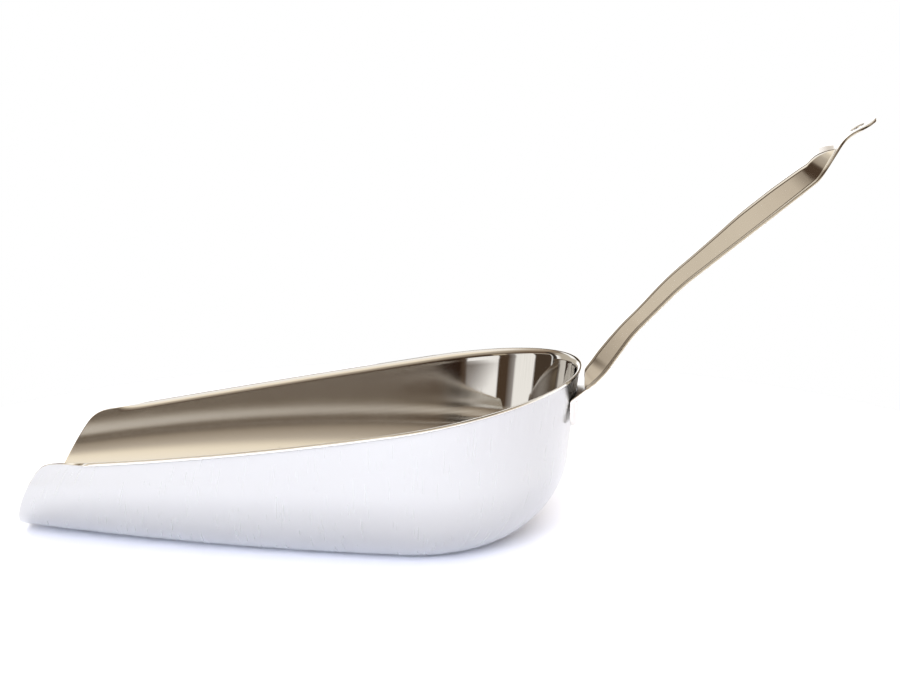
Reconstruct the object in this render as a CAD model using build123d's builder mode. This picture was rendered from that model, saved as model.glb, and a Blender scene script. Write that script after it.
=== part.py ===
from build123d import *
from math import asin, cos, degrees, radians, sin, tan
import os

# A one-hand ice scoop: a deep-drawn bowl, open at the front, and a pressed strap handle
# spot-welded to the back of the bowl.  +X runs from the mouth to the handle, +Z is up,
# the X-Z plane is the plane of symmetry, and the scoop stands on Z = 0.  Sizes in mm.

# Overall
lip_x = -150.0
tip_x = 150.0

# Bowl
bowl_length = 200.0
bowl_sheet = 1.2
back_radius = 58.5
back_height = 64.0
wall_draft = 8.0
corner_radius = 37.0
mouth_narrowing = 10.5
lip_lift = 1.5
land_sink = 0.25
blank_height = 72.0
front_overrun = 8.0
trough_stations = 5
lip_height = 2.7
rim_corner_x = 14.5
rim_corner_height = 32.0
rim_middle_x = 100.0
rim_middle_height = 45.5
mouth_bulge_x = 5.2
mouth_bulge_height = 17.0
mouth_corner_radius = 10.0
rim_lip = 0.5
rim_lip_height = 1.4
rim_lip_start = 5.0

# Handle
handle_sheet = 1.0
shoulder_width = 1.4
shoulder_share = 0.12
flat_bead = 0.02
bend_inside_radius = 0.8
foot_width = 24.0
foot_length = 7.2
foot_height = 54.0
flange_bottom = 45.2
flange_top = 58.0
flange_corner_radius = 3.0
flange_gap = 0.15
tab_radius = 7.0
tab_length = 11.4
tab_slope = 28.5
tip_height = 153.3
hang_hole_radius = 2.5

# Spot welds
weld_radius = 2.25
weld_spacing = 11.0
weld_height = 51.0
weld_into_bowl = 0.4
weld_into_handle = 0.6

back_x = lip_x + bowl_length
centre_x = back_x - back_radius
draft_slope = tan(radians(wall_draft))
back_axis = Axis((centre_x, 0, 0), (0, 0, 1))
rim_points = (
    (lip_x + rim_corner_x, rim_corner_height),
    (lip_x + rim_middle_x, rim_middle_height),
    (back_x, back_height),
)


def cross_section(x, inset, whole=True):
    """Face across the bowl at x, every side moved inwards by inset; half of it if not whole."""
    reach = (centre_x - x) / 100
    half_width = back_radius - mouth_narrowing * reach**2
    base = lip_lift * reach**2 - land_sink + inset
    wall = half_width - inset / cos(radians(wall_draft))
    foot = wall - (back_height - base) * draft_slope
    top = wall + (blank_height - back_height) * draft_slope
    radius = corner_radius * half_width / back_radius - inset
    with BuildSketch(Plane.YZ.offset(x)) as section:
        with BuildLine():
            Polyline((-foot, base), (foot, base), (top, blank_height), (-top, blank_height), close=True)
        make_face()
        fillet(section.vertices().group_by(Axis.Y)[0], radius=radius)
        if not whole:
            split(bisect_by=Plane.YZ, keep=Keep.TOP)
    return section.sketch


def bowl_form(inset):
    """Solid form of the bowl, a narrowing trough with a round back, moved inwards by inset."""
    front_x = lip_x - front_overrun
    step = (centre_x - front_x) / (trough_stations - 1)
    with BuildPart() as form:
        loft(sections=[cross_section(front_x + step * i, inset) for i in range(trough_stations)])
        add(cross_section(centre_x, inset, whole=False))
        revolve(axis=back_axis, revolution_arc=-180)
    return form.part


def wall_radius(height, clear=0.0):
    """Radius of the bowl's back at a height, plus a clearance square to its drafted wall."""
    return back_radius - (back_height - height) * draft_slope + clear / cos(radians(wall_draft))


# Spot welds: two short nuggets side by side, sunk into the bowl wall and the handle's flange.
flange_radius = wall_radius(foot_height, flange_gap)
weld_wall_radius = wall_radius(weld_height)
weld_angle = degrees(asin(weld_spacing / 2 / weld_wall_radius))
weld_depth = weld_into_bowl + flange_radius - weld_wall_radius + weld_into_handle

with BuildPart() as spot_welds:
    for angle in (-weld_angle, weld_angle):
        outward = Vector(cos(radians(wall_draft)), 0, -sin(radians(wall_draft))).rotate(Axis.Z, angle)
        seat = Vector(centre_x, 0, weld_height) + Vector(weld_wall_radius, 0, 0).rotate(Axis.Z, angle)
        with Locations(Plane(origin=seat - outward * weld_into_bowl, z_dir=outward)):
            Cylinder(weld_radius, weld_depth, align=(Align.CENTER, Align.CENTER, Align.MIN))
spot_welds.part.label = "spot_welds"


# Rim edge: the narrow band along the rim where the sheet is turned out a little.
with BuildPart() as rim_edge:
    add(bowl_form(-rim_lip))
    add(bowl_form(bowl_sheet / 2), mode=Mode.SUBTRACT)
    with BuildSketch(Plane.XZ):
        with BuildLine():
            band_top = Spline(*rim_points)
            band_bottom = Spline(*[(x, z - rim_lip_height) for x, z in rim_points])
            Polyline(
                band_top @ 1,
                (back_x + back_radius, back_height),
                (back_x + back_radius, back_height - rim_lip_height),
                band_bottom @ 1,
            )
            Line(band_top @ 0, band_bottom @ 0)
        make_face()
    extrude(amount=back_radius * 2, both=True, mode=Mode.INTERSECT)
    split(bisect_by=Plane.YZ.offset(rim_points[0][0] + rim_lip_start), keep=Keep.TOP)


# Bowl: outside form less inside form, trimmed to its side view and flattened where it stands.
with BuildPart() as bowl:
    add(bowl_form(0))
    add(bowl_form(bowl_sheet), mode=Mode.SUBTRACT)
    with BuildSketch(Plane.XZ):
        with BuildLine():
            mouth_bulge = (lip_x + mouth_bulge_x, mouth_bulge_height)
            mouth = ThreePointArc((lip_x, lip_height), mouth_bulge, rim_points[0])
            rim = Spline(*rim_points)
            Polyline(
                rim @ 1,
                (back_x + back_radius, back_height),
                (back_x + back_radius, -back_radius),
                (lip_x, -back_radius),
                mouth @ 0,
            )
        make_face()
        fillet(vertices().sort_by_distance(rim_points[0])[0], radius=mouth_corner_radius)
    extrude(amount=back_radius * 2, both=True, mode=Mode.INTERSECT)
    add(rim_edge.part)
    split(bisect_by=Plane.XY, keep=Keep.TOP)
    add(spot_welds.part, mode=Mode.SUBTRACT)
bowl.part.label = "bowl"


# Handle: one strip bent along a line in the plane of symmetry, with a hollow rib pressed up
# along it.  Stations are (distance along the line, width of the strip, width of its flat lip
# beside the rib, height of the rib).
strap_corners = (
    (47.4, 53.2),
    (58.6, 62.4),
    (69.2, 77.9),
    (85.5, 95.2),
    (131.2, 133.6),
    (tip_x - tab_length * cos(radians(tab_slope)), tip_height - tab_length * sin(radians(tab_slope))),
    (tip_x - tab_radius * cos(radians(tab_slope)), tip_height - tab_radius * sin(radians(tab_slope))),
)
strap_bends = (35.0, 45.0, 100.0, 12.0, 14.0)
with BuildLine(Plane.XZ) as strap_line:
    FilletPolyline(*strap_corners, radius=strap_bends)
strap = strap_line.wires()[0]
strap_stations = (
    (foot_length, foot_width, 1.1, flat_bead),
    (8, 24.0, 1.15, 1.0),
    (9.5, 23.9, 1.2, 2.85),
    (11, 23.8, 1.2, 4.6),
    (12.5, 23.6, 1.2, 5.5),
    (16, 23.2, 1.2, 5.9),
    (20, 22.6, 1.2, 6.0),
    (26, 21.8, 1.2, 5.7),
    (33, 21.0, 1.2, 5.1),
    (40, 20.4, 1.2, 4.9),
    (50, 20.2, 1.2, 5.2),
    (64, 20.4, 1.2, 5.6),
    (77, 20.8, 1.2, 6.3),
    (91, 21.4, 1.2, 7.1),
    (100, 21.6, 1.2, 7.1),
    (108, 21.4, 1.2, 6.8),
    (116, 20.8, 1.2, 6.3),
    (120, 20.2, 1.3, 5.7),
    (122.5, 19.0, 1.5, 4.9),
    (125.6, 17.0, 2.0, 2.7),
    (128.6, 15.4, 2.8, flat_bead),
)
tail_stations = (
    (128.6, 15.4),
    (131, 14.4),
    (133, 14.1),
    (strap.length, 14.0),
)


def strap_plane(distance):
    """Plane across the strip at a distance along its line; its y axis is the strip's upper side."""
    origin = strap.position_at(distance, position_mode=PositionMode.LENGTH)
    along = strap.tangent_at(distance, position_mode=PositionMode.LENGTH)
    return Plane(origin=origin, x_dir=(0, 1, 0), z_dir=along)


def strap_section(distance, width, lip, bead):
    """Face across the strip: a flat lip each side of an upright rib with rounded shoulders."""
    outer = width / 2 - lip
    inner = outer - handle_sheet
    crown = outer - shoulder_width
    under = shoulder_width - handle_sheet
    rise = bead * shoulder_share
    upright = bead - rise
    top = handle_sheet + upright
    with BuildSketch(strap_plane(distance)) as section:
        with BuildLine():
            Polyline((width / 2, 0), (width / 2, handle_sheet), (outer, handle_sheet), (outer, top))
            EllipticalCenterArc((crown, top), shoulder_width, rise, start_angle=0, arc_size=90)
            Line((crown, top + rise), (-crown, top + rise))
            EllipticalCenterArc((-crown, top), shoulder_width, rise, start_angle=90, arc_size=90)
            Polyline((-outer, top), (-outer, handle_sheet), (-width / 2, handle_sheet), (-width / 2, 0))
            Polyline((-width / 2, 0), (-inner, 0), (-inner, upright))
            EllipticalCenterArc((-crown, upright), under, rise, start_angle=90, arc_size=90)
            Line((-crown, bead), (crown, bead))
            EllipticalCenterArc((crown, upright), under, rise, start_angle=0, arc_size=90)
            Polyline((inner, upright), (inner, 0), (width / 2, 0))
        make_face()
    return section.sketch


def tail_section(distance, width):
    """Face across the plain end of the strip."""
    with BuildSketch(strap_plane(distance)) as section:
        Rectangle(width, handle_sheet, align=(Align.CENTER, Align.MIN))
    return section.sketch


foot = strap_plane(0)
foot_top = Plane(origin=foot.origin + foot.y_dir * handle_sheet, z_dir=foot.y_dir)
tab_end = strap_plane(strap.length)
tab_top = Plane(origin=tab_end.origin, x_dir=(0, 1, 0), z_dir=tab_end.y_dir)

with BuildPart() as handle:
    with BuildSketch(Plane((centre_x, 0, flange_bottom))):
        Circle(flange_radius + handle_sheet)
        Circle(flange_radius, mode=Mode.SUBTRACT)
    extrude(amount=flange_top - flange_bottom)
    with BuildSketch(Plane.YZ.offset(centre_x)):
        with Locations((0, flange_bottom)):
            RectangleRounded(foot_width, 2 * flange_top, flange_corner_radius, align=(Align.CENTER, Align.MIN))
    extrude(amount=2 * back_radius, mode=Mode.INTERSECT)
    split(bisect_by=foot_top, keep=Keep.BOTTOM)
    with BuildSketch(foot):
        Rectangle(foot_width, handle_sheet, align=(Align.CENTER, Align.MIN))
    extrude(amount=foot_length)
    loft(sections=[strap_section(*station) for station in strap_stations])
    loft(sections=[tail_section(*station) for station in tail_stations])
    with BuildSketch(tab_top):
        Circle(tab_radius)
        split(bisect_by=Plane.XZ, keep=Keep.TOP)
    extrude(amount=handle_sheet)
    with Locations(tab_top):
        Hole(hang_hole_radius)
    with BuildSketch(Plane.XZ):
        with BuildLine():
            Polyline(
                (centre_x, 0),
                (centre_x + wall_radius(0, flange_gap), 0),
                (centre_x + wall_radius(blank_height, flange_gap), blank_height),
                (centre_x, blank_height),
                close=True,
            )
        make_face()
    revolve(axis=back_axis, mode=Mode.SUBTRACT)
    fillet(edges().filter_by(GeomType.ELLIPSE).sort_by(SortBy.LENGTH)[-1], radius=bend_inside_radius)
    add(spot_welds.part, mode=Mode.SUBTRACT)
handle.part.label = "handle"

os.makedirs("parts", exist_ok=True)
export_step(bowl.part, "parts/bowl.step")
export_step(handle.part, "parts/handle.step")
export_step(spot_welds.part, "parts/spot_welds.step")
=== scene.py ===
import math

import bmesh
import bpy
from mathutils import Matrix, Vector


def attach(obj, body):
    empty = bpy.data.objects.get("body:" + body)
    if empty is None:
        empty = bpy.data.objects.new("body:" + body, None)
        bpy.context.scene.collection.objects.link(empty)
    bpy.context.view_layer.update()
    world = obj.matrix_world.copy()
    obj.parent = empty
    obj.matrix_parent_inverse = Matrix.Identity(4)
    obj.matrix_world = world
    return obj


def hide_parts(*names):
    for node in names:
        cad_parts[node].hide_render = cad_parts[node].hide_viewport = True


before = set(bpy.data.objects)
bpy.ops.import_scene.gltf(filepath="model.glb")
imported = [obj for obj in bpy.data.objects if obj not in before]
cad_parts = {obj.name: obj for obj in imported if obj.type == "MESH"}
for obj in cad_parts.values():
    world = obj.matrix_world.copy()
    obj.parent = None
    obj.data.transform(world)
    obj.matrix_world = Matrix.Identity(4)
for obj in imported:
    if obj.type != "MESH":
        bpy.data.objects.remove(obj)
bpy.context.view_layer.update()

# Sizes are in millimetres here and become metres when a mesh is made.
MM = 0.001

# ---------------------------------------------------------------- the bowl's form
BACK_X = 50.0
BACK_RADIUS = 58.5
BACK_HEIGHT = 64.0
DRAFT = math.radians(8.0)
CORNER_RADIUS = 37.0
MOUTH_NARROWING = 10.5
LIP_LIFT = 1.5
LAND_SINK = 0.25
LAND_BLEND = 0.1
SHEET = 1.2
CENTRE_X = BACK_X - BACK_RADIUS
MOUTH_POINTS = ((-150.0, 2.7), (-144.8, 17.0), (-135.5, 32.0))
RIM_POINTS = ((-135.5, 32.0), (-50.0, 45.5), (50.0, 64.0))
MOUTH_CORNER_RADIUS = 10.0
EDGE_ROUND = 0.2
EASE = 11.0

# The rim is turned out, so that the sheet's cut edge faces outwards.
RIM_ZONE = 3.6
RIM_OUT = 0.5
RIM_START = -130.0
RIM_FADE = 14.0
OUTER_TURN_LOW = -2.8
OUTER_TURN_RISE = 1.55
INNER_TURN_IN = 0.3
INNER_TURN_RISE = 2.5

# Steps along the outline's lines, and how many of them are searched for the corner between them.
MOUTH_STEPS = 400
RIM_STEPS = 900
CORNER_SEARCH = 200
CORNER_STEPS = 40

# Columns and rows of the bowl's mesh, and of the cut edges.
ROWS = 56
RIM_ROWS = 16
TROUGH_COLUMNS = 104
BACK_COLUMNS = 128
SUPPORT = 0.003
EDGE_STEPS = 4

# Arc lengths between which the round back is searched for the rim.
LEAST_CLIMB = 60.0
MOST_CLIMB = 130.0


def lerp(a, b, t):
    return a + (b - a) * t


def section(x, inset):
    """Numbers of the bowl's half section at x: half flat, base height, corner radius."""
    reach = (CENTRE_X - x) / 100 if x < CENTRE_X else 0.0
    half_width = BACK_RADIUS - MOUTH_NARROWING * reach**2
    base = LIP_LIFT * reach**2 - LAND_SINK + inset
    wall = half_width - inset / math.cos(DRAFT)
    foot = wall - (BACK_HEIGHT - base) * math.tan(DRAFT)
    radius = CORNER_RADIUS * half_width / BACK_RADIUS - inset
    flat = foot - radius * math.tan((math.pi / 2 - DRAFT) / 2)
    return flat, base, radius


def easing(s, flat, radius):
    """How far the section is drawn in at s, so that its corner eases into the straight wall."""
    u = (s - flat - radius * (math.pi / 2 - DRAFT)) / EASE
    most = EASE**2 / (6 * radius)
    if u <= -1:
        return 0.0, most
    if u <= 0:
        return most * (1 + u) ** 3 / 2, most
    return most * (1 - max(1 - u, 0.0) ** 3 / 2), most


def on_section(x, s, inset):
    """(distance from the centre plane, height) at an arc length s up the half section."""
    flat, base, radius = section(x, inset)
    full = math.pi / 2 - DRAFT
    drawn, most = easing(s, flat, radius)
    widened = most * math.sin(full) * min(max(s / flat, 0.0), 1.0)
    turn = min(max((s - flat) / radius, 0.0), full)
    rest = max(s - flat - radius * full, 0.0)
    y = min(s, flat) + radius * math.sin(turn) + rest * math.sin(DRAFT)
    z = base + radius * (1 - math.cos(turn)) + rest * math.cos(DRAFT)
    return y + widened - drawn * math.sin(turn), z + drawn * math.cos(turn)


def climb(x, z, inset):
    """Arc length up the half section at x where it reaches the height z."""
    flat, base, radius = section(x, inset)
    full = math.pi / 2 - DRAFT
    if z <= base:
        return flat
    top = base + radius * (1 - math.sin(DRAFT))
    if z <= top:
        return flat + radius * math.acos(1 - (z - base) / radius)
    return flat + radius * full + (z - top) / math.cos(DRAFT)


def circle_through(a, b, c):
    """Centre and radius of the circle through three points of the side view."""
    d = 2 * (a[0] * (b[1] - c[1]) + b[0] * (c[1] - a[1]) + c[0] * (a[1] - b[1]))
    sq = [p[0] ** 2 + p[1] ** 2 for p in (a, b, c)]
    cx = (sq[0] * (b[1] - c[1]) + sq[1] * (c[1] - a[1]) + sq[2] * (a[1] - b[1])) / d
    cz = (sq[0] * (c[0] - b[0]) + sq[1] * (a[0] - c[0]) + sq[2] * (b[0] - a[0])) / d
    return (cx, cz), math.hypot(a[0] - cx, a[1] - cz)


def mouth_line(t):
    """Side view of the mouth edge, from the lip at t = 0 to the rim corner at t = 1."""
    (cx, cz), r = circle_through(*MOUTH_POINTS)
    first = math.atan2(MOUTH_POINTS[0][1] - cz, MOUTH_POINTS[0][0] - cx)
    last = math.atan2(MOUTH_POINTS[2][1] - cz, MOUTH_POINTS[2][0] - cx)
    turn = (last - first + math.pi) % (2 * math.pi) - math.pi
    angle = first + turn * t
    return cx + r * math.cos(angle), cz + r * math.sin(angle)


def rim_controls():
    """Control points of the rim's quadratic curve in the side view."""
    p, q, r = RIM_POINTS
    d1 = math.dist(p, q)
    m = d1 / (d1 + math.dist(q, r))
    mid = [(q[i] - (1 - m) ** 2 * p[i] - m * m * r[i]) / (2 * m * (1 - m)) for i in (0, 1)]
    return p, mid, r


RIM_CONTROLS = rim_controls()


def rim_line(t):
    """Side view of the rim, from the rim corner at t = 0 to the back at t = 1."""
    p, mid, r = RIM_CONTROLS
    return tuple((1 - t) ** 2 * p[i] + 2 * t * (1 - t) * mid[i] + t * t * r[i] for i in (0, 1))


def solve(f, low, high):
    """Where a rising function crosses zero, by halving."""
    for _ in range(60):
        middle = (low + high) / 2
        if f(middle) > 0:
            high = middle
        else:
            low = middle
    return (low + high) / 2


def rim_height(x):
    """Height of the rim above a place along the bowl."""
    p, mid, r = (point[0] for point in RIM_CONTROLS)
    a, b = p - 2 * mid + r, mid - p
    t = (x - p) / (b + math.sqrt(b * b + a * (x - p)))
    return rim_line(t)[1]


def outline():
    """Side view of the mouth edge, its rounded corner and the rim as far as the round back."""
    mouth = [mouth_line(i / MOUTH_STEPS) for i in range(MOUTH_STEPS + 1)]
    stop = solve(lambda u: rim_line(u)[0] - CENTRE_X, 0.0, 1.0)
    rim = [rim_line(stop * i / RIM_STEPS) for i in range(RIM_STEPS + 1)]

    # The corner's centre is one radius inside both lines.
    def inside(line, i):
        a, b = line[max(i - 1, 0)], line[min(i + 1, len(line) - 1)]
        dx, dz = b[0] - a[0], b[1] - a[1]
        n = math.hypot(dx, dz)
        return (
            line[i][0] + dz / n * MOUTH_CORNER_RADIUS,
            line[i][1] - dx / n * MOUTH_CORNER_RADIUS,
        )

    best = None
    for i in range(MOUTH_STEPS - CORNER_SEARCH, MOUTH_STEPS + 1):
        c = inside(mouth, i)
        for k in range(CORNER_SEARCH):
            d = inside(rim, k)
            gap = math.dist(c, d)
            if best is None or gap < best[0]:
                best = (gap, i, k, ((c[0] + d[0]) / 2, (c[1] + d[1]) / 2))
    _, i, k, centre = best
    start = math.atan2(mouth[i][1] - centre[1], mouth[i][0] - centre[0])
    end = math.atan2(rim[k][1] - centre[1], rim[k][0] - centre[0])
    turn = (end - start - math.pi) % (2 * math.pi) - math.pi
    angles = [start + turn * j / CORNER_STEPS for j in range(CORNER_STEPS + 1)]
    corner = [
        (centre[0] + MOUTH_CORNER_RADIUS * math.cos(a), centre[1] + MOUTH_CORNER_RADIUS * math.sin(a))
        for a in angles
    ]
    half = CORNER_STEPS // 2
    return mouth[:i] + corner[: half + 1], corner[half:] + rim[k + 1 :]


def spread(points, shares):
    """Points at these shares of a polyline's length."""
    run = [0.0]
    for a, b in zip(points, points[1:]):
        run.append(run[-1] + math.dist(a, b))
    out = []
    k = 0
    for share in shares:
        want = share * run[-1]
        while k < len(run) - 2 and run[k + 1] < want:
            k += 1
        span = run[k + 1] - run[k]
        t = 0.0 if span == 0 else (want - run[k]) / span
        out.append(tuple(lerp(points[k][c], points[k + 1][c], t) for c in range(len(points[k]))))
    return out


def drawn_in(points, amount):
    """A line in the (x, s) map moved inwards, towards the back and the bottom, by an amount."""
    out = []
    for i, p in enumerate(points):
        a, b = points[max(i - 1, 0)], points[min(i + 1, len(points) - 1)]
        dx, ds = b[0] - a[0], b[1] - a[1]
        n = math.hypot(dx, ds) or 1.0
        out.append((p[0] + ds / n * amount, p[1] - dx / n * amount))
    return out


def column_shares(length):
    """Shares of a column's length: even up to the rim zone, then close together to the rim."""
    zone = RIM_ZONE / length
    out = [i / ROWS * (1 - zone) for i in range(ROWS)]
    out += [1 - zone * (1 - i / RIM_ROWS) for i in range(RIM_ROWS)]
    return out + [1 - 0.04 * zone, 1.0]


def length_of(points):
    return sum(math.dist(a, b) for a, b in zip(points, points[1:]))


def smooth(t):
    t = min(max(t, 0.0), 1.0)
    return t * t * (3 - 2 * t)


def arc(centre, across, up, first, last, count):
    """Points of an elliptical arc between two angles in degrees."""
    angles = [math.radians(lerp(first, last, i / count)) for i in range(count + 1)]
    return [(centre[0] + across * math.cos(a), centre[1] + up * math.sin(a)) for a in angles]


# How the rim zone of each face runs once it is turned out: (outwards, up) from the rim's top.
OUTER_TURN = arc((RIM_OUT, OUTER_TURN_LOW), RIM_OUT, OUTER_TURN_RISE, 180, 90, 14)
INNER_TURN = arc((INNER_TURN_IN, -INNER_TURN_RISE), SHEET + INNER_TURN_IN, INNER_TURN_RISE, 180, 90, 16)
TURNED = {
    0.0: [(0.0, -RIM_ZONE)] + OUTER_TURN,
    SHEET: [(-SHEET, -RIM_ZONE)] + INNER_TURN + [(RIM_OUT, 0.0)],
}


def turned_out(point, outward, inset):
    """A point of the plain wall moved to where the turned-out rim has it."""
    below = rim_height(point.x) - point.z
    amount = smooth((point.x - RIM_START) / RIM_FADE)
    if below >= RIM_ZONE or amount == 0.0:
        return point
    share = min(max(1 - below / RIM_ZONE, 0.0), 1.0)
    out, up = spread(TURNED[inset], [share])[0]
    return point + amount * (outward * (out + inset) + Vector((0, 0, up + RIM_ZONE * (1 - share))))


def on_side(x, s, side, inset):
    """Point of the trough at x and an arc length s up its section, on one side."""
    y, z = on_section(x, s, inset)
    if inset == 0:
        z = (z + math.hypot(z, LAND_BLEND)) / 2
    return turned_out(Vector((x, side * y, z)), Vector((0, side, 0)), inset)


def on_back(angle, s, inset):
    """Point of the round back at an angle about its axis and an arc length s up its section."""
    r, z = on_section(CENTRE_X, s, inset)
    if inset == 0:
        z = (z + math.hypot(z, LAND_BLEND)) / 2
    outward = Vector((math.cos(angle), math.sin(angle), 0))
    return turned_out(Vector((CENTRE_X, 0, z)) + outward * r, outward, inset)


def back_top(angle, inset):
    """Arc length up the round back's section at which it meets the rim."""

    def over(s):
        r, z = on_section(CENTRE_X, s, inset)
        return z - rim_height(CENTRE_X + r * math.cos(angle))

    return solve(over, LEAST_CLIMB, MOST_CLIMB)


def bowl_skin(inset, mouth, rim):
    """One face of the sheet as columns of rows, and the true edge point above each column end.

    Columns run from the mouth along the -Y side, round the back, and forward again.
    Rows run up from the centre line. The first trough column is the mouth edge itself.
    """
    columns = [0.0, SUPPORT] + [i / TROUGH_COLUMNS for i in range(1, TROUGH_COLUMNS + 1)]
    lip = [(x, climb(x, z, inset)) for x, z in mouth if z > section(x, inset)[1]]
    lip = [(lip[0][0], 0.0)] + lip
    top = [(x, climb(x, z, inset)) for x, z in rim]
    lip_in, top_in = drawn_in(lip, EDGE_ROUND), drawn_in(top, EDGE_ROUND)
    lip_in[0] = (lip_in[1][0], 0.0)
    joint = ((lip_in[-1][0] + top_in[0][0]) / 2, (lip_in[-1][1] + top_in[0][1]) / 2)
    lip_in[-1] = top_in[0] = joint
    lines = [i / ROWS for i in range(ROWS + 1)]
    m, t, t_true = spread(lip_in, lines), spread(top_in, columns), spread(top, columns)
    m_true = spread(lip, column_shares(length_of(lip)))
    end_top = t[-1][1]

    def at(i, j):
        """The patch between the mouth edge, the rim, the centre line and the round back."""
        a, b = columns[i], lines[j]
        out = []
        for c in (0, 1):
            left, right = m[j][c], (CENTRE_X, b * end_top)[c]
            low, high = (lerp(m[0][0], CENTRE_X, a), 0.0)[c], t[i][c]
            flat = lerp(
                lerp(m[0][c], (CENTRE_X, 0.0)[c], a),
                lerp(m[-1][c], (CENTRE_X, end_top)[c], a),
                b,
            )
            out.append(lerp(left, right, a) + lerp(low, high, b) - flat)
        return tuple(out)

    trough = []
    for i in range(len(columns)):
        line = [at(i, j) for j in range(len(lines))]
        trough.append(spread(line, column_shares(length_of(line))))
    skin, edge = [], []
    for side in (-1, 1):
        part = [[on_side(x, s, side, inset) for x, s in col] for col in trough]
        tips = [on_side(x, s, side, inset) for x, s in t_true]
        front = [on_side(x, s, side, inset) for x, s in m_true]
        if side < 0:
            skin += part[:-1]
            edge.append((front, tips[:-1]))
            for k in range(BACK_COLUMNS + 1):
                angle = -math.pi / 2 + math.pi * k / BACK_COLUMNS
                stop = back_top(angle, inset)
                climbs = [b * (stop - EDGE_ROUND) for b in column_shares(stop - EDGE_ROUND)]
                skin.append([on_back(angle, s, inset) for s in climbs])
                edge.append(on_back(angle, stop, inset))
        else:
            skin += part[-2::-1]
            edge.append((front, tips[-2::-1]))
    return skin, edge


def edge_loop(skin, edge):
    """The sheet's boundary as a closed loop: (vertex index by (column, row), true edge point)."""
    last_row = len(skin[0]) - 1
    last_column = len(skin) - 1
    front_right, tips_right = edge[0]
    front_left, tips_left = edge[-1]
    back = edge[1:-1]
    loop = [((0, j), front_right[j]) for j in range(last_row)]
    loop += [((i, last_row), p) for i, p in enumerate(tips_right + back + tips_left)]
    loop += [((last_column, j), front_left[j]) for j in range(last_row - 1, 0, -1)]
    return loop


def close_edge(bm, first, second, where, material_index):
    """Joins two matching loops of (vertex, true edge point) with a cut edge with round corners."""

    def rounded(a, corner, b, u):
        return a * (1 - u) ** 2 + corner * 2 * u * (1 - u) + b * u * u

    rows = []
    for (va, true_a), (vb, true_b) in zip(first, second):
        across = (true_b - true_a).normalized() * EDGE_ROUND
        points = []
        for n in range(1, EDGE_STEPS + 1):
            points.append(rounded(va.co / MM, true_a, true_a + across, n / EDGE_STEPS))
        for n in range(EDGE_STEPS):
            points.append(rounded(true_b - across, true_b, vb.co / MM, n / EDGE_STEPS))
        middle = [bm.verts.new(p * MM) for p in points]
        for v in middle:
            where[v] = where[va]
        rows.append([va] + middle + [vb])
    for k, row in enumerate(rows):
        after = rows[(k + 1) % len(rows)]
        for n in range(len(row) - 1):
            face = bm.faces.new([row[n], after[n], after[n + 1], row[n + 1]])
            face.material_index = material_index


def finish_mesh(bm, uv, where):
    """Smooth faces, the grain map from each vertex's place, and clean, outward-facing geometry."""
    for face in bm.faces:
        face.smooth = True
        for corner in face.loops:
            corner[uv].uv = where[corner.vert]
    bmesh.ops.remove_doubles(bm, verts=bm.verts, dist=1e-6)
    bmesh.ops.dissolve_degenerate(bm, dist=1e-7, edges=bm.edges)
    bmesh.ops.recalc_face_normals(bm, faces=bm.faces)


def bowl_mesh():
    """The bowl's sheet: outside, inside and a rounded cut edge, with a grain UV map."""
    mouth, rim = outline()
    skins = []
    for inset in (0.0, SHEET):
        skin, edge = bowl_skin(inset, mouth, rim)
        skins.append((skin, edge_loop(skin, edge)))
    bm = bmesh.new()
    uv = bm.loops.layers.uv.new("grain")
    where = {}
    grids = []
    for number, (skin, _) in enumerate(skins):
        grid = [[bm.verts.new(p * MM) for p in col] for col in skin]
        run = 0.0
        for i, col in enumerate(grid):
            if i:
                run += (skin[i][-1] - skin[i - 1][-1]).length * MM
            rise = 0.0
            for j, v in enumerate(col):
                if j:
                    rise += (skin[i][j] - skin[i][j - 1]).length * MM
                where[v] = (run, rise)
        grids.append(grid)
        for i in range(len(grid) - 1):
            for j in range(len(grid[0]) - 1):
                quad = [grid[i][j], grid[i + 1][j], grid[i + 1][j + 1], grid[i][j + 1]]
                if number:
                    quad.reverse()
                face = bm.faces.new(quad)
                face.material_index = number
    loops = []
    for grid, (_, loop) in zip(grids, skins):
        loops.append([(grid[i][j], true) for (i, j), true in loop])
    close_edge(bm, loops[0], loops[1], where, 2)
    finish_mesh(bm, uv, where)
    mesh = bpy.data.meshes.new("bowl_shell")
    bm.to_mesh(mesh)
    bm.free()
    return mesh


# ---------------------------------------------------------------- the handle's form
HANDLE_SHEET = 1.0
SHOULDER_WIDTH = 1.4
SHOULDER_SHARE = 0.12
FOLD_RADIUS = 0.8
FOOT_WIDTH = 24.0
FOOT_LENGTH = 7.2
FOOT_HEIGHT = 54.0
FLAT_LIP = 1.1
FLANGE_BOTTOM = 45.2
FLANGE_CORNER = 3.0
FLANGE_GAP = 0.15
WALL_AT_FOOT = BACK_RADIUS - (BACK_HEIGHT - FOOT_HEIGHT) * math.tan(DRAFT)
FLANGE_RADIUS = WALL_AT_FOOT + FLANGE_GAP / math.cos(DRAFT)
TAB_RADIUS = 7.0
TAB_LENGTH = 11.4
TAB_SLOPE = math.radians(28.5)
TIP = (150.0, 153.3)
HOLE_RADIUS = 2.5
TURN_RADIUS = 0.35
WALL_BATTER = 0.06
WELD_HEIGHT = 51.0
WELD_SPACING = 11.0
WELD_RADIUS = 2.6
WELD_DEPTH = 0.16
WELD_FADE = 0.7

# Rows and steps of the handle's mesh.
FLANGE_ROWS = 18
FOLD_ROWS = 8
FOOT_ROWS = 5
TAB_RINGS = 6
TAB_SIDE = 8
TAB_ARC = 40


def from_tip(distance):
    """Point of the side view this far down the tab's slope from its tip."""
    return (TIP[0] - distance * math.cos(TAB_SLOPE), TIP[1] - distance * math.sin(TAB_SLOPE))


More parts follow.
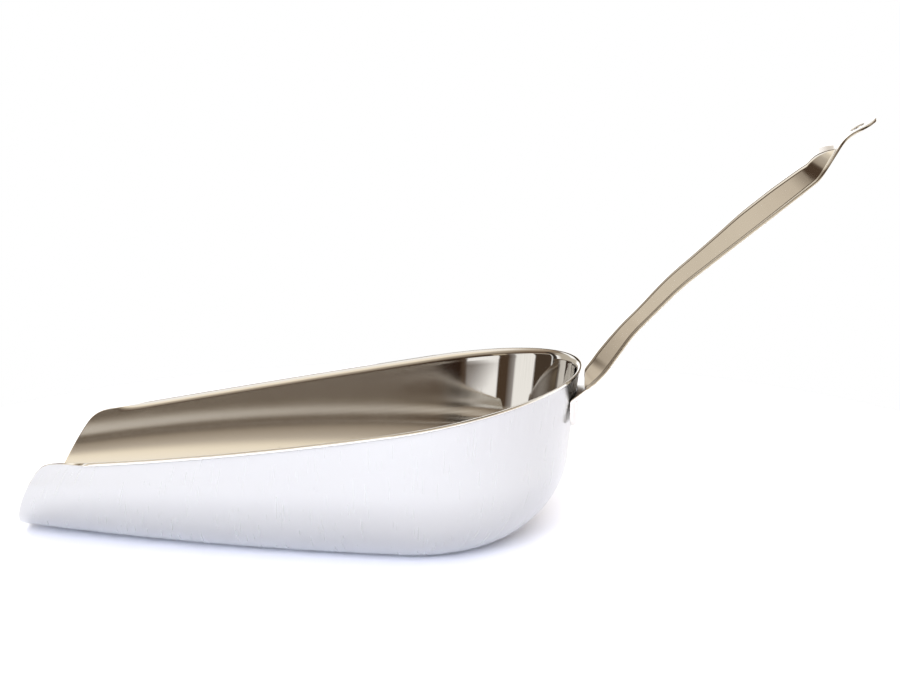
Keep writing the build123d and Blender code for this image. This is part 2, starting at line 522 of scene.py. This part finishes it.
STRAP_CORNERS = (
    (47.4, 53.2),
    (58.6, 62.4),
    (69.2, 77.9),
    (85.5, 95.2),
    (131.2, 133.6),
    from_tip(TAB_LENGTH),
    from_tip(TAB_RADIUS),
)
STRAP_BENDS = (35.0, 45.0, 100.0, 12.0, 14.0)
# (distance along the strip, its width, the flat lip beside the rib, the rib's height)
STRAP_STATIONS = (
    (FOOT_LENGTH, FOOT_WIDTH, FLAT_LIP, 0.0),
    (8, 24.0, 1.15, 1.0),
    (9.5, 23.9, 1.2, 2.85),
    (11, 23.8, 1.2, 4.6),
    (12.5, 23.6, 1.2, 5.5),
    (16, 23.2, 1.2, 5.9),
    (20, 22.6, 1.2, 6.0),
    (26, 21.8, 1.2, 5.7),
    (33, 21.0, 1.2, 5.1),
    (40, 20.4, 1.2, 4.9),
    (50, 20.2, 1.2, 5.2),
    (64, 20.4, 1.2, 5.6),
    (77, 20.8, 1.2, 6.3),
    (91, 21.4, 1.2, 7.1),
    (100, 21.6, 1.2, 7.1),
    (108, 21.4, 1.2, 6.8),
    (116, 20.8, 1.2, 6.3),
    (120, 20.2, 1.3, 5.7),
    (122.5, 19.0, 1.5, 4.9),
    (125.6, 17.0, 2.0, 2.7),
    (128.6, 15.4, 2.8, 0.0),
    (131, 14.4, 2.8, 0.0),
    (133, 14.1, 2.8, 0.0),
    (140, 14.0, 2.8, 0.0),
)


def strap_runs():
    """The strip's line in the side view as (length, start, heading, curvature) runs."""
    headings = [math.atan2(b[1] - a[1], b[0] - a[0]) for a, b in zip(STRAP_CORNERS, STRAP_CORNERS[1:])]
    turns = [0.0] + [b - a for a, b in zip(headings, headings[1:])] + [0.0]
    radii = (0.0, *STRAP_BENDS, 0.0)
    cuts = [radius * math.tan(abs(turn) / 2) for radius, turn in zip(radii, turns)]
    runs = []
    for i, heading in enumerate(headings):
        a, b = STRAP_CORNERS[i], STRAP_CORNERS[i + 1]
        ahead = (math.cos(heading), math.sin(heading))
        start = (a[0] + ahead[0] * cuts[i], a[1] + ahead[1] * cuts[i])
        straight = math.dist(a, b) - cuts[i] - cuts[i + 1]
        runs.append((straight, start, heading, 0.0))
        if turns[i + 1]:
            end = (start[0] + ahead[0] * straight, start[1] + ahead[1] * straight)
            bend = math.copysign(1 / radii[i + 1], turns[i + 1])
            runs.append((abs(turns[i + 1]) * radii[i + 1], end, heading, bend))
    return runs


STRAP_RUNS = strap_runs()
STRAP_LENGTH = sum(run[0] for run in STRAP_RUNS)


def strap_at(distance):
    """Point on the strip's lower face, and heading, at a distance along its line."""
    for length, start, heading, bend in STRAP_RUNS:
        if distance <= length or (length, start, heading, bend) == STRAP_RUNS[-1]:
            break
        distance -= length
    if bend == 0.0:
        return start[0] + distance * math.cos(heading), start[1] + distance * math.sin(heading), heading
    after = heading + distance * bend
    x = start[0] + (math.sin(after) - math.sin(heading)) / bend
    z = start[1] - (math.cos(after) - math.cos(heading)) / bend
    return x, z, after


def station(distance):
    """Width, lip and rib height at a distance, on smooth curves through the stations."""
    s = STRAP_STATIONS
    k = 0
    while k < len(s) - 2 and s[k + 1][0] < distance:
        k += 1
    run = s[k + 1][0] - s[k][0]
    t = min(max((distance - s[k][0]) / run, 0.0), 1.0)

    def slope(i, c):
        """Slope at a station that lets the curve neither overshoot nor wave."""
        if i in (0, len(s) - 1):
            return 0.0
        before = (s[i][c] - s[i - 1][c]) / (s[i][0] - s[i - 1][0])
        after = (s[i + 1][c] - s[i][c]) / (s[i + 1][0] - s[i][0])
        return 2 * before * after / (before + after) if before * after > 0 else 0.0

    out = []
    for c in (1, 2, 3):
        a, b = s[k][c], s[k + 1][c]
        left, right = slope(k, c) * run, slope(k + 1, c) * run
        bulge = (1 - t) * left * t * (1 - t) - t * right * t * (1 - t)
        out.append(lerp(a, b, smooth(t)) + bulge)
    return out


def half_profile(width, lip, bead, upper):
    """Half of the strip's section, (across, up), from the centre out to the edge's rounding."""
    outer = width / 2 - lip
    crown = outer - SHOULDER_WIDTH
    rise = bead * SHOULDER_SHARE
    upright = bead - rise
    wall, reach, base = outer, SHOULDER_WIDTH, HANDLE_SHEET
    if not upper:
        wall, reach, base = outer - HANDLE_SHEET, SHOULDER_WIDTH - HANDLE_SHEET, 0.0
    turn = min(TURN_RADIUS, 0.5 * upright)
    points = [(crown * i / 9, base + bead) for i in range(9)] + [(crown - 0.04, base + bead)]
    points += arc((crown, base + upright), reach, rise, 90, 0, 7)
    for share in (0.03, 0.5, 0.97):
        points.append((wall + WALL_BATTER * share, base + lerp(upright, turn, share)))
    start = wall + WALL_BATTER
    points += arc((start + TURN_RADIUS, base + turn), TURN_RADIUS, turn, 180, 270, 5)
    edge = width / 2 - EDGE_ROUND
    start += TURN_RADIUS
    return points + [(lerp(start, edge, share), base) for share in (0.05, 0.35, 0.65, 0.94, 1.0)]


def both_halves(points):
    """A whole section from the half with positive y."""
    return [(-y, v) for y, v in points[:0:-1]] + points


def strap_row(distance, upper):
    """Points across one face of the strip at a distance along its line."""
    x, z, heading = strap_at(distance)
    width, lip, bead = station(distance)
    row = []
    for y, v in both_halves(half_profile(width, lip, bead, upper)):
        row.append(Vector((x - v * math.sin(heading), y, z + v * math.cos(heading))))
    return row


def weld_dimple(y, z):
    """How far the flange is pressed in at a place, over its two spot welds."""
    gap = min(math.hypot(y - side * WELD_SPACING / 2, z - WELD_HEIGHT) for side in (-1, 1))
    return WELD_DEPTH * (1 - smooth((gap - WELD_RADIUS + WELD_FADE) / WELD_FADE))


def flange_x(y, v):
    """How far back the flange stands at a place across it."""
    return CENTRE_X + math.sqrt((FLANGE_RADIUS + HANDLE_SHEET - v) ** 2 - y * y)


def flange_foot(y, inset):
    """Height of the flange's lower edge, with its round corners, at a place across it."""
    beyond = abs(y) - (FOOT_WIDTH / 2 - FLANGE_CORNER)
    if beyond <= 0:
        return FLANGE_BOTTOM + inset
    radius = FLANGE_CORNER - inset
    return FLANGE_BOTTOM + FLANGE_CORNER - math.sqrt(max(radius**2 - beyond**2, 0.0))


def root_column(y, v):
    """The strip's root at a place across it: up the flange, round the fold, along the foot."""
    x0, z0, heading = strap_at(0.0)
    ahead = Vector((math.cos(heading), 0, math.sin(heading)))
    up = Vector((-math.sin(heading), 0, math.cos(heading)))
    base = Vector((x0, y, z0)) + up * v
    x = flange_x(y, v)
    corner = base + ahead * ((x - base.x) / ahead.x)
    radius = FOLD_RADIUS + v
    turn = math.pi / 2 - heading
    cut = radius * math.tan(turn / 2)
    foot = flange_foot(y, EDGE_ROUND)
    column = []
    for i in range(FLANGE_ROWS):
        z = lerp(foot, corner.z - cut, i / FLANGE_ROWS)
        column.append(Vector((x - (0 if v else weld_dimple(y, z)), y, z)))
    centre = Vector((x + radius, y, corner.z - cut))
    for i in range(FOLD_ROWS + 1):
        a = math.pi - turn * i / FOLD_ROWS
        column.append(centre + Vector((radius * math.cos(a), 0, radius * math.sin(a))))
    last = base + ahead * FOOT_LENGTH
    for i in range(1, FOOT_ROWS):
        column.append(column[FLANGE_ROWS + FOLD_ROWS].lerp(last, i / FOOT_ROWS))
    return column


def strap_distances():
    """Rows along the strip, closer together where the rib starts and ends."""
    out = [FOOT_LENGTH]
    stop = STRAP_LENGTH - TAB_RADIUS
    while out[-1] < stop:
        step = 0.35 if out[-1] < 12 else 0.8 if out[-1] < 24 or out[-1] > 108 else 1.6
        out.append(out[-1] + step)
    out[-1] = stop
    return out


def tab_edge():
    """Edge of the tab beyond its last whole row, +Y side first: (drawn-in place, true place).

    A place is (along, across) from the hang hole's centre.
    """
    sides = []
    for i in range(1, TAB_SIDE):
        along = -TAB_RADIUS * i / TAB_SIDE
        half = station(STRAP_LENGTH + along)[0] / 2
        sides.append((along, half))
    out = [((along, half - EDGE_ROUND), (along, half)) for along, half in sides[::-1]]
    drawn = TAB_RADIUS - EDGE_ROUND
    for i in range(TAB_ARC + 1):
        a = math.pi / 2 - math.pi * i / TAB_ARC
        way = (math.cos(a), math.sin(a))
        out.append(((drawn * way[0], drawn * way[1]), (TAB_RADIUS * way[0], TAB_RADIUS * way[1])))
    return out + [((along, EDGE_ROUND - half), (along, -half)) for along, half in sides]


def on_tab(place, v):
    """The point of the strip's end at a place and a height above its lower face."""
    x, z, heading = strap_at(STRAP_LENGTH + min(place[0], 0.0))
    ahead = max(place[0], 0.0)
    x += ahead * math.cos(heading) - v * math.sin(heading)
    return Vector((x, place[1], z + ahead * math.sin(heading) + v * math.cos(heading)))


def handle_face(bm, upper, where):
    """One face of the strip, and its outline and hang hole as loops of (vertex, true edge point)."""
    v = HANDLE_SHEET if upper else 0.0
    across = [y for y, _ in both_halves(half_profile(FOOT_WIDTH, FLAT_LIP, 0.0, upper))]
    root = [root_column(y, v) for y in across]
    rows = [[column[j] for column in root] for j in range(len(root[0]))]
    rows += [strap_row(d, upper) for d in strap_distances()]
    grid = [[bm.verts.new(p * MM) for p in row] for row in rows]
    run = 0.0
    for j, row in enumerate(grid):
        if j:
            run += (rows[j][0] - rows[j - 1][0]).length * MM
        for p, vertex in zip(rows[j], row):
            where[vertex] = (p.y * MM, run)
    for low, high in zip(grid, grid[1:]):
        for i in range(len(low) - 1):
            bm.faces.new([low[i], low[i + 1], high[i + 1], high[i]])

    # Round the hang hole the strip's last row and the tab's edge are spokes of one ring.
    tab = [(bm.verts.new(on_tab(inner, v) * MM), inner, on_tab(true, v)) for inner, true in tab_edge()]
    rim = [(vertex, (-TAB_RADIUS, p.y)) for p, vertex in zip(rows[-1], grid[-1])]
    rim += [(vertex, inner) for vertex, inner, _ in tab]
    hole, spokes = [], []
    for vertex, place in rim:
        a = math.atan2(place[1], place[0])
        way = (math.cos(a), math.sin(a))
        inner = [(HOLE_RADIUS + EDGE_ROUND) * c for c in way]
        spoke = [vertex]
        for k in range(TAB_RINGS + 1):
            spot = [lerp(place[c], inner[c], k / TAB_RINGS) for c in (0, 1)]
            if k:
                spoke.append(bm.verts.new(on_tab(spot, v) * MM))
            where.setdefault(spoke[-1], (spot[1] * MM, run + (spot[0] + TAB_RADIUS) * MM))
        spokes.append(spoke)
        hole.append((spoke[-1], on_tab([HOLE_RADIUS * c for c in way], v)))
    for k, spoke in enumerate(spokes):
        after = spokes[(k + 1) % len(spokes)]
        for n in range(TAB_RINGS):
            bm.faces.new([spoke[n], after[n], after[n + 1], spoke[n + 1]])

    side = Vector((0, EDGE_ROUND, 0))
    outline_loop = []
    for i, y in enumerate(across):
        p = rows[0][i]
        beyond = max(abs(y) - (FOOT_WIDTH / 2 - FLANGE_CORNER), 0.0)
        tilt = min(beyond / (FLANGE_CORNER - EDGE_ROUND), 1.0)
        away = Vector((0, math.copysign(tilt, y), -math.sqrt(1 - tilt * tilt)))
        outline_loop.append((grid[0][i], p + away * EDGE_ROUND))
    outline_loop += [(grid[j][-1], rows[j][-1] + side) for j in range(1, len(rows))]
    outline_loop += [(vertex, true) for vertex, _, true in tab]
    outline_loop += [(grid[j][0], rows[j][0] - side) for j in range(len(rows) - 1, 0, -1)]
    return outline_loop, hole


def handle_mesh():
    """The handle's pressed strip with rounded cut edges, and a grain map along its length."""
    bm = bmesh.new()
    uv = bm.loops.layers.uv.new("grain")
    where = {}
    upper_outline, upper_hole = handle_face(bm, True, where)
    lower_outline, lower_hole = handle_face(bm, False, where)
    close_edge(bm, upper_outline, lower_outline, where, 1)
    close_edge(bm, upper_hole, lower_hole, where, 1)
    finish_mesh(bm, uv, where)
    mesh = bpy.data.meshes.new("handle_strip")
    bm.to_mesh(mesh)
    bm.free()
    return mesh


def new_piece(name, mesh, materials):
    """An object of the scene with this mesh and these materials."""
    piece = bpy.data.objects.new(name, mesh)
    bpy.context.scene.collection.objects.link(piece)
    for material in materials:
        mesh.materials.append(material)
    return piece


# ---------------------------------------------------------------- materials
class Nodes:
    """Short names for making and joining a node tree's nodes."""

    def __init__(self, tree):
        self.tree = tree

    def add(self, kind, inputs=(), output=0, **settings):
        """A new node with its sockets set or linked; returns one of its outputs."""
        node = self.tree.nodes.new(kind)
        for key, value in settings.items():
            setattr(node, key, value)
        for key, value in dict(inputs).items():
            if isinstance(value, bpy.types.NodeSocket):
                self.tree.links.new(value, node.inputs[key])
            else:
                node.inputs[key].default_value = value
        return node.outputs[output]

    def math(self, operation, *values):
        return self.add("ShaderNodeMath", dict(enumerate(values)), operation=operation)

    def ramp(self, fac, stops):
        """A colour ramp through (place, colour) stops."""
        out = self.add("ShaderNodeValToRGB", {"Fac": fac})
        elements = out.node.color_ramp.elements
        while len(elements) < len(stops):
            elements.new(0.5)
        for element, (place, colour) in zip(elements, stops):
            element.position = place
            element.color = (*colour, 1.0)
        return out

    def spread(self, fac, low, high, to_low, to_high):
        """A value carried from one range to another, and held at its ends."""
        inputs = {1: low, 2: high, 3: to_low, 4: to_high, 0: fac}
        return self.add("ShaderNodeMapRange", inputs)

    def noise(self, vector, scale, detail=2.0, roughness=0.5):
        inputs = {"Vector": vector, "Scale": scale, "Detail": detail, "Roughness": roughness}
        return self.add("ShaderNodeTexNoise", inputs)

    def stretched(self, vector, scale, turn=0.0):
        inputs = {"Vector": vector, "Scale": scale, "Rotation": (0.0, 0.0, turn)}
        return self.add("ShaderNodeMapping", inputs)

    def mix(self, fac, first, second):
        return self.add("ShaderNodeMix", {0: fac, 6: first, 7: second}, output=2, data_type="RGBA")

    def product(self, first, *others):
        for other in others:
            first = self.math("MULTIPLY", first, other)
        return first

    def plus(self, first, factor, second):
        """first plus factor times second."""
        return self.math("MULTIPLY_ADD", second, factor, first)


def scratch_pattern(n, grain):
    """Short scratches: thin slips of a stretched noise at a few angles."""
    slips = []
    for turn, seed in ((0.5, 3.0), (-0.9, 7.0), (1.3, 11.0)):
        slip = n.noise(n.stretched(grain, (1400.0, 45.0 + seed, 1.0), turn), 1.0, 1.0)
        slips.append(n.spread(slip, 0.70, 0.76, 0.0, 1.0))
    return n.math("MAXIMUM", n.math("MAXIMUM", slips[0], slips[1]), slips[2])


def pit_pattern(n, place):
    """Pits: small specks, only in a few of a fine pattern's cells."""
    cell = n.add("ShaderNodeTexVoronoi", {"Vector": place, "Scale": 420.0})
    rare = n.noise(place, 130.0, 0.0)
    return n.product(n.spread(cell, 0.10, 0.22, 1.0, 0.0), n.spread(rare, 0.66, 0.72, 0.0, 1.0))


# Along the bowl, where the haze starts and where it is full; and where the stronger brushed lines
# start and are full, along the bowl and upwards.
HAZE_START = 12.0
HAZE_FULL = -30.0
BRUSHED_ALONG = (0.0, 25.0)
BRUSHED_HIGH = (35.0, 55.0)


def steel(name, colour, dark, rough, streaks, bumps, haze=0.0):
    """Stainless steel whose grain runs along the grain map's second axis.

    colour fades to dark in clouds, streaks and pits. rough is its (least, most) roughness, streaks
    how strong the brushed lines are, and bumps how deep, in millimetres, the fine waviness is. haze
    is how much rougher it gets towards the mouth.
    """
    material = bpy.data.materials.new(name)
    material.use_nodes = True
    shader = material.node_tree.nodes["Principled BSDF"]
    shader.inputs["Metallic"].default_value = 1.0
    n = Nodes(material.node_tree)
    link = material.node_tree.links.new
    grain = n.add("ShaderNodeUVMap", uv_map="grain")
    place = n.add("ShaderNodeTexCoord", output=3)
    along = n.add("ShaderNodeSeparateXYZ", {0: place})
    high = along.node.outputs[2]
    lines = n.noise(n.stretched(grain, (2600.0, 60.0, 1.0)), 1.0, 3.0, 0.6)
    broad = n.noise(n.stretched(grain, (420.0, 16.0, 1.0)), 1.0, 2.0)
    smudge = n.noise(place, 38.0, 4.0, 0.62)
    cloud = n.noise(place, 11.0, 2.0)
    scratches = scratch_pattern(n, grain)
    pits = pit_pattern(n, place)

    wear = n.math("ADD", n.math("MULTIPLY", lines, streaks), n.math("MULTIPLY", broad, streaks))
    marks = n.math("ADD", n.math("MULTIPLY", smudge, 1.0 - streaks), wear)
    roughness = n.plus(n.spread(marks, 0.38, 0.95, *rough), 0.03, scratches)
    if haze:
        roughness = n.math("ADD", roughness, n.spread(along, HAZE_FULL * MM, HAZE_START * MM, haze, 0.0))
    link(roughness, shader.inputs["Roughness"])

    # These stronger lines show only towards the back and the top.
    brushed = n.product(
        n.spread(along, *(stop * MM for stop in BRUSHED_ALONG), 0.0, 1.0),
        n.spread(high, *(stop * MM for stop in BRUSHED_HIGH), 0.0, 1.0),
        n.spread(lines, 0.4, 0.7, 0.0, 0.7),
    )
    clouds = n.spread(cloud, 0.3, 0.7, 0.0, 0.15)
    shade = n.math("ADD", clouds, n.spread(lines, 0.3, 0.7, 0.0, 0.4 * streaks))
    shade = n.math("MAXIMUM", n.math("ADD", shade, brushed), pits)
    tint = n.mix(shade, (*colour, 1.0), (*dark, 1.0))
    link(tint, shader.inputs["Base Color"])

    height = n.plus(n.math("MULTIPLY", lines, streaks), 0.6, cloud)
    height = n.plus(n.plus(height, -2.0, pits), -0.6, scratches)
    bump = n.add("ShaderNodeBump", {"Height": height, "Distance": bumps * MM, "Strength": 0.6})
    link(bump, shader.inputs["Normal"])
    return material


satin = steel(
    "steel_satin",
    colour=(0.545, 0.55, 0.545),
    dark=(0.49, 0.485, 0.49),
    rough=(0.26, 0.28),
    streaks=0.1,
    bumps=0.0003,
)
polished = steel(
    "steel_polished",
    colour=(0.60, 0.575, 0.54),
    dark=(0.54, 0.515, 0.48),
    rough=(0.03, 0.08),
    streaks=0.05,
    bumps=0.002,
    haze=0.15,
)
cut_edge = steel(
    "steel_cut_edge",
    colour=(0.70, 0.68, 0.64),
    dark=(0.66, 0.64, 0.60),
    rough=(0.10, 0.15),
    streaks=0.0,
    bumps=0.0002,
)
pressed = steel(
    "steel_pressed",
    colour=(0.62, 0.60, 0.57),
    dark=(0.58, 0.56, 0.53),
    rough=(0.08, 0.13),
    streaks=0.05,
    bumps=0.001,
)
weld_steel = steel(
    "steel_weld",
    colour=(0.50, 0.47, 0.43),
    dark=(0.34, 0.30, 0.27),
    rough=(0.22, 0.45),
    streaks=0.1,
    bumps=0.03,
)

# ---------------------------------------------------------------- pieces
bowl = new_piece("bowl_shell", bowl_mesh(), [satin, polished, cut_edge])
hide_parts("bowl")
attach(bowl, "root")

handle = new_piece("handle_strip", handle_mesh(), [pressed, cut_edge])
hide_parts("handle")
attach(handle, "root")

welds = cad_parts["spot_welds"].data
welds.materials.clear()
welds.materials.append(weld_steel)

# ---------------------------------------------------------------- floor, light, camera
FLOOR_RADIUS = 0.26
FLOOR_COLOUR = (0.88, 0.885, 0.95, 1.0)
FLOOR_ROUGHNESS = 0.9

bm = bmesh.new()
bmesh.ops.create_circle(bm, cap_ends=True, segments=96, radius=FLOOR_RADIUS)
floor_mesh = bpy.data.meshes.new("floor")
bm.to_mesh(floor_mesh)
bm.free()
paper = bpy.data.materials.new("floor_paper")
paper.use_nodes = True
paper_shader = paper.node_tree.nodes["Principled BSDF"]
paper_shader.inputs["Base Color"].default_value = FLOOR_COLOUR
paper_shader.inputs["Roughness"].default_value = FLOOR_ROUGHNESS
paper_shader.inputs["Specular IOR Level"].default_value = 0.0
new_piece("floor", floor_mesh, [paper])


def lamp(name, place, size, energy, colour):
    """A soft lamp that lights the paper and isn't seen in the steel."""
    data = bpy.data.lights.new(name, "AREA")
    data.shape = "DISK"
    data.size = size
    data.energy = energy
    data.color = colour
    made = bpy.data.objects.new(name, data)
    made.location = place
    made.rotation_euler = Vector(place).to_track_quat("Z", "Y").to_euler()
    made.visible_glossy = False
    bpy.context.scene.collection.objects.link(made)


lamp("overhead", (0.0, 0.0, 1.8), size=1.6, energy=6.0, colour=(1.0, 0.97, 0.92))
lamp("front", (0.1, -1.15, 0.6), size=0.7, energy=17.5, colour=(0.91, 0.93, 1.0))
lamp("fill", (-0.1, -0.9, 0.24), size=0.5, energy=8.0, colour=(0.76, 0.85, 1.0))

AZIMUTH = math.radians(7.33)
PITCH = math.radians(13.24)


def sine(degrees):
    """Place on a ramp from straight down to straight up, for an elevation in degrees."""
    return 0.5 + 0.5 * math.sin(math.radians(degrees))


# The room that the steel reflects, which isn't a real one: its colours and its cards' places were
# chosen so that the reflections look like the photo's. Beyond the scoop it is pale up to the
# horizon, dark above it and pale overhead. On the viewer's side it is pale below, then beige, dark
# about the horizon and pale overhead. Ramps are (elevation, colour).
ROOM_STRENGTH = 2.0
FRONT = (
    (-90, (0.70, 0.70, 0.775)),
    (-24, (0.74, 0.74, 0.755)),
    (-16, (0.50, 0.45, 0.37)),
    (-7, (0.47, 0.41, 0.33)),
    (-4, (0.050, 0.032, 0.020)),
    (7, (0.050, 0.032, 0.020)),
    (13, (0.09, 0.068, 0.050)),
    (20, (0.25, 0.21, 0.165)),
    (34, (0.36, 0.32, 0.265)),
    (42, (0.72, 0.65, 0.53)),
    (60, (0.74, 0.69, 0.60)),
    (90, (0.74, 0.74, 0.74)),
)
BEYOND = (
    (-90, (0.80, 0.80, 0.80)),
    (-5, (0.80, 0.80, 0.80)),
    (6, (0.85, 0.85, 0.86)),
    (9, (0.40, 0.35, 0.29)),
    (12, (0.085, 0.058, 0.038)),
    (18, (0.085, 0.058, 0.038)),
    (27, (0.24, 0.19, 0.14)),
    (36, (0.44, 0.39, 0.33)),
    (44, (0.72, 0.69, 0.64)),
    (90, (0.74, 0.75, 0.77)),
)
SIDE_START = math.radians(72)
SIDE_STOP = math.radians(98)
# (azimuth, elevation, width, height, colour, softness), azimuth from the viewer to the right.
CARDS = (
    (42, 4, 26, 22, (0.012, 0.009, 0.008), 3.0),
    (-24, 2, 20, 6, (0.012, 0.005, 0.002), 1.5),
    (-51, -3, 26, 7, (0.70, 0.70, 0.70), 0.7),
    (-88, -2, 18, 12, (0.68, 0.68, 0.67), 1.0),
    (-108, 0, 20, 16, (0.045, 0.032, 0.022), 1.0),
    (-66, 6, 12, 9, (0.32, 0.27, 0.20), 1.0),
    (-122, 6, 6, 30, (0.03, 0.025, 0.02), 0.8),
    (-146, 4, 34, 30, (0.36, 0.33, 0.28), 3.0),
    (-171, 22, 12, 26, (0.02, 0.015, 0.01), 1.2),
    (-157, 15, 12, 14, (0.75, 0.76, 0.76), 1.5),
)


def card_cover(n, around, rise, azimuth, elevation, width, height, softness):
    """How far a card covers each direction of the room; its place and size are in degrees."""
    away = n.math("ABSOLUTE", n.math("SUBTRACT", around, math.radians(azimuth)))
    over = n.math("ABSOLUTE", n.math("SUBTRACT", rise, math.radians(elevation)))
    half = math.radians(width / 2)
    tall = math.radians(height / 2)
    blur = math.radians(softness)
    return n.product(
        n.spread(away, half - blur, half + blur, 1.0, 0.0),
        n.spread(over, tall - blur, tall + blur, 1.0, 0.0),
    )


def make_studio():
    """The world: plain white to the camera, and the studio to everything else."""
    world = bpy.data.worlds.new("studio")
    world.use_nodes = True
    world.node_tree.nodes.clear()
    bpy.context.scene.world = world
    n = Nodes(world.node_tree)
    x = n.add("ShaderNodeSeparateXYZ", {0: n.add("ShaderNodeTexCoord", output=0)})
    y, z = x.node.outputs[1], x.node.outputs[2]
    level = n.math("MULTIPLY_ADD", z, 0.5, 0.5)
    rise = n.math("ARCSINE", z)
    right = n.plus(n.math("MULTIPLY", x, math.cos(AZIMUTH)), math.sin(AZIMUTH), y)
    front = n.plus(n.math("MULTIPLY", x, math.sin(AZIMUTH)), -math.cos(AZIMUTH), y)
    around = n.math("ARCTAN2", right, front)
    near = n.ramp(level, [(sine(a), c) for a, c in FRONT])
    far = n.ramp(level, [(sine(a), c) for a, c in BEYOND])
    side = n.spread(n.math("ABSOLUTE", around), SIDE_START, SIDE_STOP, 0.0, 1.0)
    room = n.mix(side, near, far)
    for azimuth, elevation, width, height, colour, softness in CARDS:
        cover = card_cover(n, around, rise, azimuth, elevation, width, height, softness)
        room = n.mix(cover, room, (*colour, 1.0))
    lit = n.add("ShaderNodeBackground", {"Color": room, "Strength": ROOM_STRENGTH})
    white = n.add("ShaderNodeBackground", {"Color": (1.0, 1.0, 1.0, 1.0), "Strength": 1.0})
    seen = n.add("ShaderNodeLightPath")
    backdrop = n.add("ShaderNodeMixShader", {0: seen, 1: lit, 2: white})
    output = world.node_tree.nodes.new("ShaderNodeOutputWorld")
    world.node_tree.links.new(backdrop, output.inputs["Surface"])


make_studio()

DISTANCE = 0.900
TARGET = Vector((0.00385, 0.0, 0.07322))
SENSOR = 36.0
LENS = 101.9
camera_data = bpy.data.cameras.new("camera")
camera_data.sensor_width = SENSOR
camera_data.lens = LENS
camera = bpy.data.objects.new("camera", camera_data)
bpy.context.scene.collection.objects.link(camera)
forward = Vector(
    (-math.sin(AZIMUTH) * math.cos(PITCH), math.cos(AZIMUTH) * math.cos(PITCH), -math.sin(PITCH))
)
camera.location = TARGET - forward * DISTANCE
camera.rotation_euler = forward.to_track_quat("-Z", "Y").to_euler()
bpy.context.scene.camera = camera
bpy.context.scene.view_settings.view_transform = "Standard"
